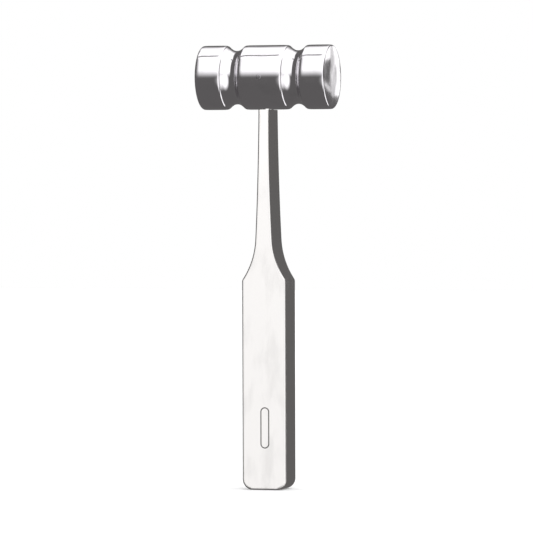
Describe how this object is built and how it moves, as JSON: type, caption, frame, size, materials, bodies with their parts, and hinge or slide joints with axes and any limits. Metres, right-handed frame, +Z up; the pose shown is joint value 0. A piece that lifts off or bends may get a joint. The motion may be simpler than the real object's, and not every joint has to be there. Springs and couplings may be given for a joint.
{
  "type": "surgical mallet",
  "caption": "All-steel surgical bone mallet: cylindrical head with two grooves round it, thin flared neck and flat rectangular grip.",
  "frame": {"origin": "middle of the flat butt end of the grip, which is also the bottom centre of the whole mallet", "axes": "+Z up the handle from the butt to the head, +X along the head's axis from one striking face to the other, Y through the thickness of the handle"},
  "size_m": [0.057, 0.027, 0.186],
  "materials": {
    "head_steel": "turned and mirror polished stainless steel with faint polishing lines round it",
    "handle_steel": "ground and bright polished stainless steel with a faint grain along the handle",
    "pin_steel": "ground flush stainless steel dowel"
  },
  "bodies": {
    "root": {"head": "head_steel", "handle": "handle_steel", "dowel_pin": "pin_steel"}
  },
  "joints": []
}
